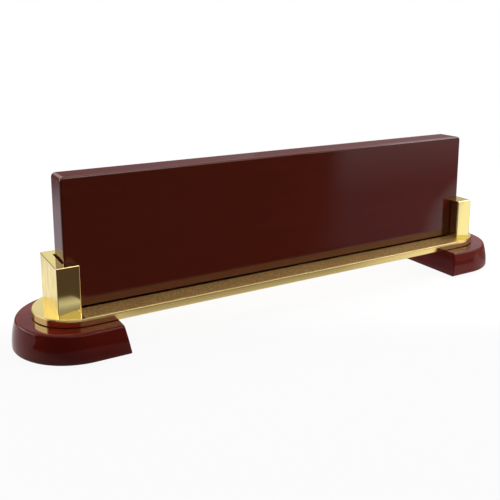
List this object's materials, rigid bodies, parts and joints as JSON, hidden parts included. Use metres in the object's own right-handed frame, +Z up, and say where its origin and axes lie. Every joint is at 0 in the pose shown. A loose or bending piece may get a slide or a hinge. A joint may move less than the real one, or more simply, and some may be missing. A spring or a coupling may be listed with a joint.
{
  "type": "desk name plate",
  "caption": "Desk name plate: a glossy dark red wooden panel stands in slotted gold posts on a flat round-ended bar with D-shaped wooden feet; the panel lifts out.",
  "frame": {"origin": "on the desk, under the middle of the panel", "axes": "+X along the panel, to the reader's right; -Y towards the reader; +Z up"},
  "size_m": [0.2408, 0.0488, 0.0663],
  "materials": {
    "panel_lacquer": "high-gloss dark red piano lacquer",
    "foot_lacquer": "high-gloss dark red piano lacquer",
    "bar_gold": "gold, finely brushed along its length",
    "post_gold": "gold, polished, finely brushed upright on the end faces",
    "screw_steel": "zinc plated",
    "pad_felt": "black pressed felt"
  },
  "bodies": {
    "stand": {"base_bar": "bar_gold", "left_post": "post_gold", "right_post": "post_gold", "left_foot": "foot_lacquer", "right_foot": "foot_lacquer", "post_screws": "screw_steel", "screw_washers": "screw_steel", "left_felt_pad": "pad_felt", "right_felt_pad": "pad_felt"},
    "panel": {"name_panel": "panel_lacquer"}
  },
  "joints": [
    {"name": "panel_lift", "type": "slide", "parent": "stand", "child": "panel", "axis": [0, 0, 1], "range_m": [0, 0.025]}
  ]
}
